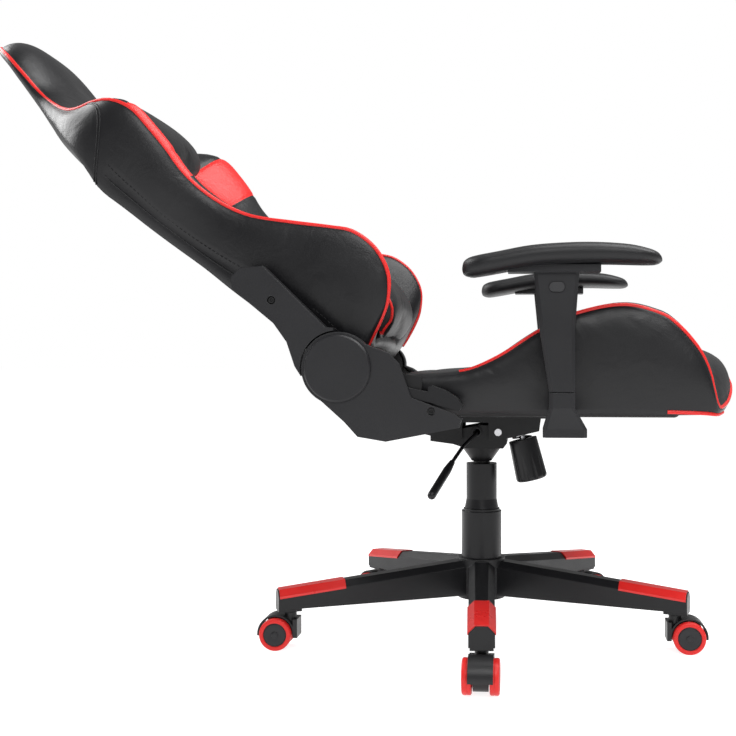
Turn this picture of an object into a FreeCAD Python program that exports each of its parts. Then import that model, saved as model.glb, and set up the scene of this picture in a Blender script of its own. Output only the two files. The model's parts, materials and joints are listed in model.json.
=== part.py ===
import FreeCAD, Part
import math
import os

os.makedirs("parts", exist_ok=True)

# A reclining racing-style swivel chair, stored with its backrest leaned far back.
# X points to the chair's front, Y to the sitter's left and Z up. The origin is on the floor, on the axis
# of the gas lift. Lengths are in mm and angles in degrees. A side is -1 on the sitter's right and +1 on
# the left.

SIDES = {"right": -1, "left": 1}
AXIS_Y = FreeCAD.Vector(0, 1, 0)
AXIS_Z = FreeCAD.Vector(0, 0, 1)
ORIGIN = FreeCAD.Vector(0, 0, 0)
RUNNING = 0.05  # radial clearance of every running fit

# Star base
LEG_COUNT = 5
LEG_YAW = 2.7  # how far the star is turned under the seat
LEG_REACH = 350
LEG_END_TOP = 96
LEG_HUB_BOTTOM = 73
LEG_END_BOTTOM = 66
LEG_WIDTH_HUB = 44
LEG_WIDTH_END = 38
LEG_BEVEL = 10
LEG_WALL = 4
POCKETS = (52, 304, 4)  # the ribbed underside: where its pockets start and end, and how many there are
STEM_BLOCK_START = 312
STEM_BLOCK_BOTTOM = 62
HUB_RADIUS = 40
HUB_TOP = 134
HUB_BOTTOM = 66
INSERT_REACH = (240, 348)  # the coloured leg caps' two ends
INSERT_THICKNESS = 1.5

# Castors
STEM_RADIUS = 5.5
STEM_REACH = 328
STEM_TOP = 84
WHEEL_RADIUS = 26
WHEEL_INNER = 12  # from the castor's middle plane to a wheel's inner face
WHEEL_OUTER = 27
WHEEL_CHAMFER = 2
CASTOR_TRAIL = 21
AXLE_RADIUS = 3
HOOD_HALF_WIDTH = 18
HOOD_RADIUS = 30.5
HOUSING_TOP = 60
CASTOR_HEADINGS = [-90, 0, 40, 140, 180]  # the way each castor trails, leg by leg

# Gas lift
CYLINDER_RADIUS = 25
CYLINDER_WALL = 2
CYLINDER_BOTTOM = 70
CYLINDER_TOP = 290
TUBE_RADIUS = 14
TUBE_BORE = 12.5
TUBE_BOTTOM = 92
TUBE_TOP = 350
ROD_RADIUS = 5
COVER_RADIUS = 34
COVER_TOP = 213
COLLAR_RADIUS = 26
COLLAR_TOP = 294

# Tilt mechanism
TILT_AXIS = FreeCAD.Vector(30, 0, 350)
TILT_PIN_RADIUS = 5
PLATE_TOP = 380  # the steel plate under the seat rails
PLATE_THICKNESS = 6
BOLT_SPREAD = 64
CHEEK_INNER = 52
CHEEK_THICKNESS = 3
PAN_HALF_WIDTH = 44
PAN_WALL = 3
KNOB_TOP = FreeCAD.Vector(70, 0, 335)
KNOB_LEAN = 13.4  # the knob's lower end leans this far forward
KNOB_LENGTH = 71
KNOB_RADIUS = 27
KNOB_EDGE = 6
KNOB_FLUTES = 10
BOLT_RADIUS = 5
SPRING_RADIUS = 15
SPRING_WIRE = 2.2
LIP_BOTTOM = 352
LEVER_PIVOT = FreeCAD.Vector(-6, -43, 350)
LEVER_ROD_RADIUS = 3
GRIP_RADIUS = 6.5
COLLAR_BUSH_RADIUS = 8
COLLAR_HALF_LENGTH = 7

# Seat
SEAT_BOTTOM = 386
SEAT_REAR = -150
CENTRE_HALF_WIDTH = 165
SEAT_HALF_WIDTH = 255
RAIL_REAR = -110
RAIL_FRONT = 133
RAIL_WIDTH = 36
FRAME_TUBE = 9
FRAME_HALF_WIDTH = 205
FRAME_ENDS = (-118, 300)
FOAM_GAP = 0.3  # between foam and the steel that it is moulded round

# Recline hinge and its side brackets. The layers are counted outward from the middle plane.
HINGE = FreeCAD.Vector(-200, 0, 459)
RECLINE = 52.5  # the backrest's lean from upright
BACK_PLATE = (256, 260)
RECLINER = (260.3, 272)
SEAT_PLATE = (272, 276)
LEVER_PLATE = (277, 281)
COVER_LAYER = (262, 285)
CAP_LAYER = (285.2, 290.5)
COVER_WALL = 2.5
HINGE_RIM = {-1: 54, 1: 39}  # by side: the right boss also houses the recline lever
CAP_INSET = 4  # from a cap's edge to the rim round it
LOCK_RADIUS = 33
SCREW_RADIUS = 6
SEAT_COVER_SCREW = (-61, 396)
BACK_COVER_SCREW = (-299, 560)
PIVOT_RADIUS = 8
LEVER_PIVOT_RADIUS = 6

# Backrest, in its own frame: u runs up the back from the hinge and v forward out of it
BACK_REAR = -12
BACK_CENTRE_HALF = 150
BACK_FACE = 65
BACK_WIDEST = 274
BACK_TOP = 838
WING_HALF_WIDTH = 276
LUG_HEIGHTS = (60, 150)
LUG_RADIUS = 8

# Armrests
ARM_MIDDLE = 301
ARM_POST = (121, 141, 560)  # the post's rear, front and top
ARM_POST_HALF_DEPTH = 10
ARM_FOOT_TOP = 425
ARM_HALF_DEPTH = 15
ARM_CORNER = 5
ARM_WALL = 3
ARM_BUTTON = (122, 576, 22, 14)  # its middle, width and height
PAD_PLATE = ((52, -22, 597), (184, 22, 608))
PAD_ENDS = (-14, 271)
PAD_HALF_WIDTH = 45


def vec(x, y, z):
    return FreeCAD.Vector(x, y, z)


def box(low, high):
    size = vec(*high) - vec(*low)
    return Part.makeBox(size.x, size.y, size.z, vec(*low))


def rod(radius, start, end):
    return Part.makeCylinder(radius, (end - start).Length, start, end - start)


def disc(radius, x, z, layer):
    """A round plate across Y, over the layer's two distances from the middle plane."""
    return rod(radius, vec(x, layer[0], z), vec(x, layer[1], z))


def upright_tube(outer, inner, low, high):
    shell = rod(outer, vec(0, 0, low), vec(0, 0, high))
    return shell.cut(rod(inner, vec(0, 0, low - 1), vec(0, 0, high + 1)))


def fused(shapes):
    first, *others = shapes
    return first.fuse(others).removeSplitter() if others else first


def on_side(shape, side):
    """Shapes are drawn on the left. The right one is the mirror image."""
    return shape if side > 0 else shape.mirror(ORIGIN, AXIS_Y)


def both_sides(shape):
    return [on_side(shape, side) for side in SIDES.values()]


def edge_loop(points, curve=()):
    """A closed wire: a smooth line through curve, then straight ones through points back to the start."""
    edges = []
    if curve:
        spline = Part.BSplineCurve()
        spline.interpolate(list(curve))
        edges.append(spline.toShape())
        points = [curve[-1], *points, curve[0]]
    else:
        points = [*points, points[0]]
    edges += [Part.LineSegment(a, b).toShape() for a, b in zip(points, points[1:])]
    return Part.Wire(edges)


def side_plate(points, layer, curve=()):
    """A solid with the given (x, z) outline across Y, over the layer."""
    wire = edge_loop(
        [vec(x, layer[0], z) for x, z in points], [vec(x, layer[0], z) for x, z in curve]
    )
    return Part.Face(wire).extrude(vec(0, layer[1] - layer[0], 0))


def plan_plate(points, low, high, curve=()):
    """A solid with the given (x, y) outline, between two heights."""
    wire = edge_loop([vec(x, y, low) for x, y in points], [vec(x, y, low) for x, y in curve])
    return Part.Face(wire).extrude(vec(0, 0, high - low))


def front_plate(points, low, high, curve=()):
    """A solid with the given (y, z) outline, between two places along X."""
    wire = edge_loop([vec(low, y, z) for y, z in points], [vec(low, y, z) for y, z in curve])
    return Part.Face(wire).extrude(vec(high - low, 0, 0))


def loft(sections):
    return Part.makeLoft([edge_loop(section) for section in sections], True, True)


def stacked(sections):
    """A body that runs straight from each section to the next."""
    return fused([loft(pair) for pair in zip(sections, sections[1:])])


def bent_tube(radius, points, closed=False):
    """Round tube through the points, with ball corners."""
    ends = list(zip(points, points[1:] + points[:1])) if closed else list(zip(points, points[1:]))
    pieces = [rod(radius, a, b) for a, b in ends]
    corners = points if closed else points[1:-1]
    pieces += [Part.makeSphere(radius, corner) for corner in corners]
    return fused(pieces)


def oval(x, z, width, height, layer):
    """A level slot shape across Y."""
    half = (width - height) / 2
    middle = box((x - half, layer[0], z - height / 2), (x + half, layer[1], z + height / 2))
    ends = [disc(height / 2, x + end * half, z, layer) for end in (-1, 1)]
    return fused([middle, *ends])


def round_edges(shape, radius):
    """The shape's circular edges of the given radius."""
    circles = [edge for edge in shape.Edges if isinstance(edge.Curve, Part.Circle)]
    return [edge for edge in circles if abs(edge.Curve.Radius - radius) < 0.01]


def turned(shape, angle, axis=AXIS_Z, centre=ORIGIN):
    shape = shape.copy()
    shape.rotate(centre, axis, angle)
    return shape


def moved(shape, offset):
    shape = shape.copy()
    shape.translate(offset)
    return shape


def leaned(shape):
    """From the backrest's own upright frame, with the hinge at its origin, to the stored pose."""
    return moved(turned(shape, -RECLINE, AXIS_Y), HINGE)


def leg_angle(index):
    return -90 + 360 / LEG_COUNT * index + LEG_YAW


# Star base


def leg_top(x):
    return HUB_TOP + (LEG_END_TOP - HUB_TOP) * x / LEG_REACH


def leg_underside(x):
    return LEG_HUB_BOTTOM + (LEG_END_BOTTOM - LEG_HUB_BOTTOM) * x / LEG_REACH


def leg_section(x, bottom, grow=0):
    """A bevelled box section across the leg at x, grown outward by grow."""
    width = LEG_WIDTH_HUB + (LEG_WIDTH_END - LEG_WIDTH_HUB) * x / LEG_REACH
    half = width / 2 + grow
    top = leg_top(x) + grow
    outline = [
        (-half, bottom),
        (half, bottom),
        (half, top - LEG_BEVEL),
        (half - LEG_BEVEL, top),
        (LEG_BEVEL - half, top),
        (-half, top - LEG_BEVEL),
    ]
    return [vec(x, y, z) for y, z in outline]


def leg_body():
    return loft([leg_section(x, leg_underside(x)) for x in (HUB_RADIUS / 2, LEG_REACH)])


def leg_pockets():
    """The spaces between the ribs under a leg: two rows, either side of a lengthwise rib."""
    first, last, count = POCKETS
    pitch = (last - first) / count
    starts = [first + index * pitch + LEG_WALL / 2 for index in range(count)]
    rib = box((0, -LEG_WALL / 2, 0), (LEG_REACH, LEG_WALL / 2, HUB_TOP))
    ends = [(start, start + pitch - LEG_WALL) for start in starts]
    return [loft([leg_section(x, 0, -LEG_WALL) for x in pair]).cut(rib) for pair in ends]


def star_base():
    hub = rod(HUB_RADIUS, vec(0, 0, HUB_BOTTOM), vec(0, 0, HUB_TOP))
    half = LEG_WIDTH_END / 2 - 2
    block = box((STEM_BLOCK_START, -half, STEM_BLOCK_BOTTOM), (LEG_REACH, half, LEG_END_TOP - LEG_BEVEL))
    leg = fused([leg_body().cut(leg_pockets()), block])
    leg = leg.cut(rod(STEM_RADIUS + 0.1, vec(STEM_REACH, 0, 0), vec(STEM_REACH, 0, STEM_TOP + 1)))
    base = fused([hub, *[turned(leg, leg_angle(index)) for index in range(LEG_COUNT)]])
    return base.cut(rod(CYLINDER_RADIUS + RUNNING, ORIGIN, vec(0, 0, HUB_TOP + 1)))


def leg_inserts():
    """Coloured caps over the outer third of each leg, down to just below its bevels."""
    lip = LEG_BEVEL + 2
    sections = [leg_section(x, leg_top(x) - lip, INSERT_THICKNESS) for x in INSERT_REACH]
    cap = loft(sections).cut(leg_body())
    return [turned(cap, leg_angle(index)) for index in range(LEG_COUNT)]


# Castors. Each is drawn with its stem on the Z axis and its wheels trailing towards +X.


def castor_place(shape, index):
    angle = math.radians(leg_angle(index))
    stem = vec(STEM_REACH * math.cos(angle), STEM_REACH * math.sin(angle), 0)
    return moved(turned(shape, CASTOR_HEADINGS[index]), stem)


def castor_stems():
    stem = rod(STEM_RADIUS, vec(0, 0, 45), vec(0, 0, STEM_TOP))
    return [castor_place(stem, index) for index in range(LEG_COUNT)]


def castor_housing():
    """A web between the wheels, the hood over them, the stem's boss and the axle pin."""
    hub = vec(CASTOR_TRAIL, 0, WHEEL_RADIUS)
    across = WHEEL_INNER - 1
    web = rod(WHEEL_RADIUS - 5, hub - AXIS_Y * across, hub + AXIS_Y * across)
    boss = rod(10, vec(0, 0, 24), vec(0, 0, HOUSING_TOP))
    bridge = box((0, -across + 2, 24), (CASTOR_TRAIL, across - 2, HOUSING_TOP - 8))
    hood = rod(HOOD_RADIUS, hub - AXIS_Y * HOOD_HALF_WIDTH, hub + AXIS_Y * HOOD_HALF_WIDTH)
    hood = hood.cut(
        rod(WHEEL_RADIUS + 1.5, hub - AXIS_Y * HOOD_HALF_WIDTH, hub + AXIS_Y * HOOD_HALF_WIDTH)
    )
    hood = hood.cut(box((-60, -40, -10), (90, 40, WHEEL_RADIUS - 3)))
    rear_wall = box((-14, -HOOD_HALF_WIDTH, 20), (-6.8, HOOD_HALF_WIDTH, 50))
    spine = box((-14, -across + 2, 24), (CASTOR_TRAIL + WHEEL_RADIUS + 2, across - 2, 34))
    housing = fused([web, boss, bridge, hood, rear_wall, spine])
    housing = housing.cut(rod(STEM_RADIUS + RUNNING, vec(0, 0, 44), vec(0, 0, 90)))
    pin = rod(AXLE_RADIUS, hub - AXIS_Y * 25, hub + AXIS_Y * 25)
    return [housing.cut(pin), pin]


def castor_wheel(side):
    hub = vec(CASTOR_TRAIL, 0, WHEEL_RADIUS)
    inner = hub + AXIS_Y * side * WHEEL_INNER
    outer = hub + AXIS_Y * side * WHEEL_OUTER
    wheel = rod(WHEEL_RADIUS, inner, outer)
    wheel = wheel.makeChamfer(WHEEL_CHAMFER, round_edges(wheel, WHEEL_RADIUS))
    return wheel.cut(rod(AXLE_RADIUS + RUNNING, inner, hub + AXIS_Y * side * 25.3))


# Gas lift


def gas_cylinder():
    inner = CYLINDER_RADIUS - CYLINDER_WALL
    wall = upright_tube(CYLINDER_RADIUS, inner, CYLINDER_BOTTOM, CYLINDER_TOP)
    floor = upright_tube(CYLINDER_RADIUS, ROD_RADIUS + 0.2, CYLINDER_BOTTOM, CYLINDER_BOTTOM + 6)
    return fused([wall, floor])


def guide_bush():
    outer = CYLINDER_RADIUS - CYLINDER_WALL
    return upright_tube(outer, TUBE_RADIUS + RUNNING, CYLINDER_TOP - 100, CYLINDER_TOP)


def thrust_bearing():
    low = CYLINDER_BOTTOM + 6
    return upright_tube(12, ROD_RADIUS + 0.5, low, low + 8)


def piston_rod():
    shaft = rod(ROD_RADIUS, vec(0, 0, 62), vec(0, 0, 300))
    clip = rod(8, vec(0, 0, 63), vec(0, 0, CYLINDER_BOTTOM - 0.3))
    shoulder = rod(11, vec(0, 0, CYLINDER_BOTTOM + 14.3), vec(0, 0, TUBE_BOTTOM - 2))
    piston = rod(TUBE_BORE - RUNNING, vec(0, 0, 290), vec(0, 0, 300))
    return fused([shaft, clip, shoulder, piston])


def pressure_tube():
    wall = upright_tube(TUBE_RADIUS, TUBE_BORE, TUBE_BOTTOM, TUBE_TOP)
    seal = upright_tube(TUBE_BORE + 0.5, ROD_RADIUS + RUNNING, TUBE_BOTTOM, TUBE_BOTTOM + 8)
    valve = rod(TUBE_BORE + 0.5, vec(0, 0, TUBE_TOP - 10), vec(0, 0, TUBE_TOP))
    button = rod(4, vec(0, 0, TUBE_TOP), vec(0, 0, TUBE_TOP + 3))
    return fused([wall, seal, valve, button])


def lift_cover_lower():
    wall = upright_tube(COVER_RADIUS, COVER_RADIUS - 2.5, HUB_TOP, COVER_TOP)
    top = upright_tube(COVER_RADIUS, CYLINDER_RADIUS + 0.5, COVER_TOP - 3, COVER_TOP)
    step = upright_tube(COVER_RADIUS - 3, CYLINDER_RADIUS + 0.5, COVER_TOP, COVER_TOP + 4)
    return fused([wall, top, step])


def lift_cover_upper():
    low = COVER_TOP + 4.3
    flare = Part.makeCone(COLLAR_RADIUS + 3, COLLAR_RADIUS, 16, vec(0, 0, low))
    wall = rod(COLLAR_RADIUS, vec(0, 0, low), vec(0, 0, COLLAR_TOP))
    sleeve = fused([flare, wall])
    sleeve = sleeve.cut(rod(CYLINDER_RADIUS + 0.3, vec(0, 0, low), vec(0, 0, CYLINDER_TOP + 0.3)))
    return sleeve.cut(rod(TUBE_RADIUS + 0.5, vec(0, 0, low), vec(0, 0, COLLAR_TOP + 1)))


# Tilt mechanism


def knob_point(depth):
    """A point on the tension bolt's axis, depth below the knob's top."""
    lean = math.radians(KNOB_LEAN)
    return KNOB_TOP + vec(math.sin(lean), 0, -math.cos(lean)) * depth


PAN_OUTLINE = [
    (-84, 345),
    (-84, 334),
    (-46, 329),
    (-24, 322),
    (38, 322),
    (44, 330),
    (44, LIP_BOTTOM + 4),
    (38, 361),
    (0, 361),
]
PAN_HOLLOW = [(-80, 337), (-46, 332), (-22, 325), (40, 325), (40, 380), (-80, 380)]
CHEEK_OUTLINE = [
    (-108, PLATE_TOP - PLATE_THICKNESS + 1),
    (-106, 349),
    (-50, 336),
    (22, 336),
    (52, 341),
    (98, 352),
    (101, PLATE_TOP - PLATE_THICKNESS + 1),
]
CHEEK_WINDOW = [(-30, 330), (14, 330), (14, 366), (-30, 366)]  # the lift lever comes out through it


def mechanism_housing():
    """A pan round the gas lift's socket, with a front lip that the tilt spring pushes on."""
    pan = side_plate(PAN_OUTLINE, (-PAN_HALF_WIDTH, PAN_HALF_WIDTH))
    inner = PAN_HALF_WIDTH - PAN_WALL
    pan = pan.cut(side_plate(PAN_HOLLOW, (-inner, inner)))
    flare = Part.makeCone(TUBE_RADIUS + 3, TUBE_RADIUS + 20, 24, vec(0, 0, COLLAR_TOP + 4))
    flare_top = rod(TUBE_RADIUS + 20, vec(0, 0, COLLAR_TOP + 28), vec(0, 0, COLLAR_TOP + 32))
    socket = rod(TUBE_RADIUS + 9, vec(0, 0, COLLAR_TOP + 28), vec(0, 0, TUBE_TOP - 4))
    lip = box((41, -22, LIP_BOTTOM), (82, 22, LIP_BOTTOM + 4))
    pan = fused([pan, flare, flare_top, socket, lip])
    pan = pan.cut(rod(TUBE_RADIUS, vec(0, 0, COLLAR_TOP), vec(0, 0, TUBE_TOP + 20)))
    pan = pan.cut(rod(2 * BOLT_RADIUS, knob_point(-30), knob_point(0)))
    bush_hole = rod(
        COLLAR_BUSH_RADIUS + RUNNING, LEVER_PIVOT + AXIS_Y * 9, LEVER_PIVOT - AXIS_Y * 9
    )
    return pan.cut(bush_hole).cut(tilt_pin_rod(TILT_PIN_RADIUS + RUNNING, 2 * PAN_HALF_WIDTH))


def tilt_pin_rod(radius, half_length):
    return rod(radius, TILT_AXIS - AXIS_Y * half_length, TILT_AXIS + AXIS_Y * half_length)


def tilt_plate():
    """The steel plate under the seat rails, with two cheeks that hang on the tilt pin."""
    low = PLATE_TOP - PLATE_THICKNESS
    plate = box((RAIL_REAR - 14, -74, low), (RAIL_FRONT + 16, 74, PLATE_TOP))
    layer = (CHEEK_INNER, CHEEK_INNER + CHEEK_THICKNESS)
    cheek = side_plate(CHEEK_OUTLINE, layer).cut(side_plate(CHEEK_WINDOW, layer))
    whole = fused([plate, *both_sides(cheek)])
    whole = whole.cut(bolt_rods(4.2, low - 1, PLATE_TOP + 1))
    whole = whole.cut(tilt_pin_rod(TILT_PIN_RADIUS, 2 * CHEEK_INNER))
    return whole.cut(rod(BOLT_RADIUS, knob_point(-60), knob_point(0)))


def tilt_pin():
    half = CHEEK_INNER + CHEEK_THICKNESS
    head = rod(TILT_PIN_RADIUS + 1, TILT_AXIS + AXIS_Y * half, TILT_AXIS + AXIS_Y * (half + 3))
    return fused([tilt_pin_rod(TILT_PIN_RADIUS, half), *both_sides(head)])


def tension_bolt():
    return rod(BOLT_RADIUS, knob_point(-46), knob_point(KNOB_LENGTH - 6))


def tension_knob():
    """A deep cup that holds the spring, with grip flutes round it."""
    down = knob_point(1) - knob_point(0)
    knob = Part.makeCone(KNOB_RADIUS - 3, KNOB_RADIUS, KNOB_LENGTH, knob_point(0), down)
    knob = knob.makeFillet(KNOB_EDGE, round_edges(knob, KNOB_RADIUS))
    knob = knob.cut(rod(SPRING_RADIUS + 4, knob_point(-1), knob_point(KNOB_LENGTH - 16)))
    knob = knob.cut(rod(BOLT_RADIUS + RUNNING, knob_point(0), knob_point(KNOB_LENGTH - 5.7)))
    flute = rod(6, knob_point(22), knob_point(KNOB_LENGTH + 5))
    outward = FreeCAD.Rotation(AXIS_Y, -KNOB_LEAN).multVec(vec(KNOB_RADIUS + 4, 0, 0))
    for index in range(KNOB_FLUTES):
        angle = 360 / KNOB_FLUTES * index
        knob = knob.cut(turned(moved(flute, outward), angle, down, knob_point(0)))
    return knob


def tilt_spring():
    """From the knob's floor up to the lip, round the tension bolt."""
    floor = knob_point(KNOB_LENGTH - 16)
    length = (floor.z - LIP_BOTTOM) / -math.cos(math.radians(KNOB_LEAN)) - SPRING_WIRE * 2 - 5
    helix = Part.makeHelix(length / 6, length, SPRING_RADIUS)
    profile = Part.Wire(Part.makeCircle(SPRING_WIRE, vec(SPRING_RADIUS, 0, 0), AXIS_Y))
    coil = Part.Wire(helix.Edges).makePipeShell([profile], True, True)
    lift = SPRING_WIRE + 0.5
    return moved(turned(coil, -KNOB_LEAN, AXIS_Y), floor + (knob_point(0) - knob_point(1)) * lift)


def lever_collar():
    """The bush that the lift lever rocks in. It slides out to free the tilt."""
    start = LEVER_PIVOT + AXIS_Y * COLLAR_HALF_LENGTH
    end = LEVER_PIVOT - AXIS_Y * COLLAR_HALF_LENGTH
    return rod(COLLAR_BUSH_RADIUS, start, end).cut(rod(LEVER_ROD_RADIUS + 2.6, start, end))


def lift_lever_path():
    inner_end = vec(0, 8, 362.5)
    beyond_collar = LEVER_PIVOT + (LEVER_PIVOT - inner_end) * 0.26
    return [inner_end, beyond_collar, vec(-27, -90, 328), vec(-38, -175, 311)]


def lift_lever_rod():
    return bent_tube(LEVER_ROD_RADIUS, lift_lever_path())


def lift_lever_grip():
    """A plain round handle that carries the rod's line on downward."""
    start = lift_lever_path()[-1]
    end = vec(-62, -262, 270)
    along = (end - start).normalize()
    neck_length = 24
    neck = Part.makeCone(GRIP_RADIUS - 2, GRIP_RADIUS, neck_length, start, along)
    handle = rod(GRIP_RADIUS, start + along * neck_length, end)
    tip = Part.makeSphere(GRIP_RADIUS, end)
    return fused([neck, handle, tip]).cut(lift_lever_rod())


# Seat


def bolt_rods(radius, low, high):
    """One upright rod in the place of each bolt that holds the seat's rails to the tilt plate."""
    places = [(x, y) for x in (RAIL_REAR, RAIL_FRONT) for y in (-BOLT_SPREAD, BOLT_SPREAD)]
    return [rod(radius, vec(x, y, low), vec(x, y, high)) for x, y in places]


def seat_ring(radius):
    """The seat frame's tube ring, at the given tube radius."""
    z = SEAT_BOTTOM + FRAME_TUBE - 2
    rear, front = FRAME_ENDS
    half = FRAME_HALF_WIDTH
    corners = [(front, -half), (front, half), (rear, half), (rear, -half)]
    return bent_tube(radius, [vec(x, y, z) for x, y in corners], closed=True)


def rail(x, reach):
    half = RAIL_WIDTH / 2
    return box((x - half, -reach, PLATE_TOP), (x + half, reach, SEAT_BOTTOM))


def seat_frame():
    """A tube ring moulded into the foam, on two flat rails that carry the brackets and armrests."""
    rails = [rail(RAIL_REAR, SEAT_PLATE[0]), rail(RAIL_FRONT, ARM_MIDDLE + ARM_POST_HALF_DEPTH)]
    return fused([seat_ring(FRAME_TUBE), *rails]).cut(bolt_rods(4.2, PLATE_TOP - 1, SEAT_BOTTOM + 1))


def fixing_bolts():
    low = PLATE_TOP - PLATE_THICKNESS
    heads = bolt_rods(7, low - 5, low)
    shanks = bolt_rods(4, low, SEAT_BOTTOM)
    return [fused(pair) for pair in zip(heads, shanks)]


def seat_cushion():
    """Foam in three pieces: the middle with its rolled nose, and a raised bolster on each side."""
    middle_line = [
        (SEAT_REAR, 425),
        (-122, 446),
        (-18, 452),
        (130, 457),
        (260, 472),
        (345, 489),
        (393, 475),
        (407, 450),
        (403, 424),
        (380, 393),
    ]
    under = [(356, SEAT_BOTTOM), (SEAT_REAR, SEAT_BOTTOM)]
    middle = side_plate(under, (-CENTRE_HALF_WIDTH, CENTRE_HALF_WIDTH), middle_line)
    corner = 45
    nose_plan = [
        (-200, CENTRE_HALF_WIDTH + 1),
        (408 - corner, CENTRE_HALF_WIDTH + 1),
        (408, CENTRE_HALF_WIDTH - corner),
    ]
    nose_plan += [(x, -y) for x, y in reversed(nose_plan)]
    middle = middle.common(plan_plate(nose_plan, 300, 600))
    bolster_line = [
        (SEAT_REAR, 422),
        (-110, 446),
        (-15, 455),
        (97, 514),
        (224, 555),
        (305, 525),
        (352, 455),
        (365, 399),
    ]
    bolster = side_plate(under, (CENTRE_HALF_WIDTH, SEAT_HALF_WIDTH + 1), bolster_line)
    section = [
        (CENTRE_HALF_WIDTH, 380),
        (SEAT_HALF_WIDTH - 3, 380),
        (SEAT_HALF_WIDTH, 470),
        (SEAT_HALF_WIDTH - 10, 560),
        (SEAT_HALF_WIDTH - 42, 560),
        (CENTRE_HALF_WIDTH, 462),
    ]
    bolster = bolster.common(front_plate(section, SEAT_REAR - 1, 400))
    space = seat_ring(FRAME_TUBE + FOAM_GAP)
    return [foam.cut(space) for foam in [middle, *both_sides(bolster)]]


# Recline hinge


SEAT_BRACKET_OUTLINE = [
    (-225, 430),
    (-178, 478),
    (-160, 446),
    (-116, 422),
    (-96, 394),
    (-34, 389),
    (-34, 379),
    (-150, 369),
]
LEVER_RECESS_OUTLINE = [(-178, 482), (-106, 452), (-74, 446), (-78, 412), (-96, 394), (-160, 446)]
SEAT_COVER_TOP = {
    -1: [(-230, 480), (-168, 498), (-124, 482), (-108, 466), (-90, 416)],
    1: [(-230, 450), (-175, 462), (-148, 452), (-112, 428)],
}
SEAT_COVER_BOTTOM = [
    (-28, 393),
    (-16, 385),
    (-20, 372),
    (-128, 351),
    (-170, 358),
    (-190, 380),
    (-228, 414),
]
BACK_COVER_OUTLINE = [
    (-312, 611),
    (-346, 608),
    (-360, 595),
    (-358, 577),
    (-296, 526),
    (-276, 498),
    (-264, 462),
    (-250, 440),
    (-206, 460),
    (-206, 519),
    (-218, 520),
]
LEVER_ARM_OUTLINE = [(-200, 473), (-100, 432), (-62, 424), (-60, 408), (-110, 418), (-200, 447)]
PADDLE_OUTLINE = [
    (-66, 432),
    (-60, 434),
    (-40, 427),
    (-22, 416),
    (-15, 406),
    (-20, 396),
    (-50, 404),
    (-66, 410),
]


def hinge_disc(radius, layer):
    return disc(radius, HINGE.x, HINGE.z, layer)


def seat_bracket(side):
    """Steel plate from the rear rail to the hinge, with the round recliner lock and its pivot."""
    plate = side_plate(SEAT_BRACKET_OUTLINE, SEAT_PLATE)
    boss = hinge_disc(LOCK_RADIUS + 1, SEAT_PLATE)
    lock = hinge_disc(LOCK_RADIUS, RECLINER)
    pivot = hinge_disc(PIVOT_RADIUS, (BACK_PLATE[0] - 0.4, SEAT_PLATE[0]))
    pieces = [plate, boss, lock, pivot]
    if side == SIDES["right"]:
        pieces.append(side_plate(LEVER_RECESS_OUTLINE, SEAT_PLATE))
        pieces.append(hinge_disc(LEVER_PIVOT_RADIUS, (SEAT_PLATE[1], LEVER_PLATE[1])))
    return fused(pieces)


def back_bracket():
    """Steel plate from the hinge up the backrest's side, drawn upright."""
    strip = side_plate([(-10, 0), (34, 0), (26, 185), (-4, 185)], BACK_PLATE)
    plate = fused([disc(LOCK_RADIUS + 1, 0, 0, BACK_PLATE), strip])
    return leaned(plate.cut(disc(PIVOT_RADIUS + RUNNING, 0, 0, (BACK_PLATE[0] - 1, BACK_PLATE[1] + 1))))


def hollow_layer():
    """The depth of a side cover's hollow, which is open towards the chair's middle."""
    return (COVER_LAYER[0] - 1, COVER_LAYER[1] - COVER_WALL)


def cover_inside(outline):
    """The hollow of a side cover, one wall inside its outline."""
    low, high = hollow_layer()
    wire = edge_loop([vec(x, low, z) for x, z in outline])
    sharp_corners = 2
    face = Part.Face(wire).makeOffset2D(-COVER_WALL, sharp_corners)
    return face.extrude(vec(0, high - low, 0))


def screw_hole(place):
    """The counterbore of a cover's fixing screw."""
    return disc(SCREW_RADIUS, *place, (COVER_LAYER[1] - 4, COVER_LAYER[1] + 1))


def seat_side_cover(side):
    outline = SEAT_COVER_TOP[side] + SEAT_COVER_BOTTOM
    cover = fused([side_plate(outline, COVER_LAYER), hinge_disc(HINGE_RIM[side], COVER_LAYER)])
    rim_inside = hinge_disc(HINGE_RIM[side] - COVER_WALL, hollow_layer())
    cover = cover.cut([cover_inside(outline), rim_inside, screw_hole(SEAT_COVER_SCREW)])
    if side == SIDES["right"]:
        low, high = hollow_layer()
        lever_way = box((-130, low, 389), (-10, high, 520))
        cover = cover.cut(lever_way)
    return cover


def hinge_cap(side):
    cap = hinge_disc(HINGE_RIM[side] - CAP_INSET, CAP_LAYER)
    rim = [edge for edge in cap.Edges if abs(edge.BoundBox.YMin - CAP_LAYER[1]) < 0.01]
    return cap.makeChamfer(2.5, rim)


def back_side_cover(side):
    """Its lower end is cut back in a circle, so that it swings round the seat cover's rim."""
    clear = HINGE_RIM[side] + 2
    beyond = (COVER_LAYER[0] - 1, COVER_LAYER[1] + 1)
    outer = side_plate(BACK_COVER_OUTLINE, COVER_LAYER).cut(hinge_disc(clear, beyond))
    inside = cover_inside(BACK_COVER_OUTLINE).cut(hinge_disc(clear + COVER_WALL, beyond))
    return outer.cut(inside).cut(screw_hole(BACK_COVER_SCREW))


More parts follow.
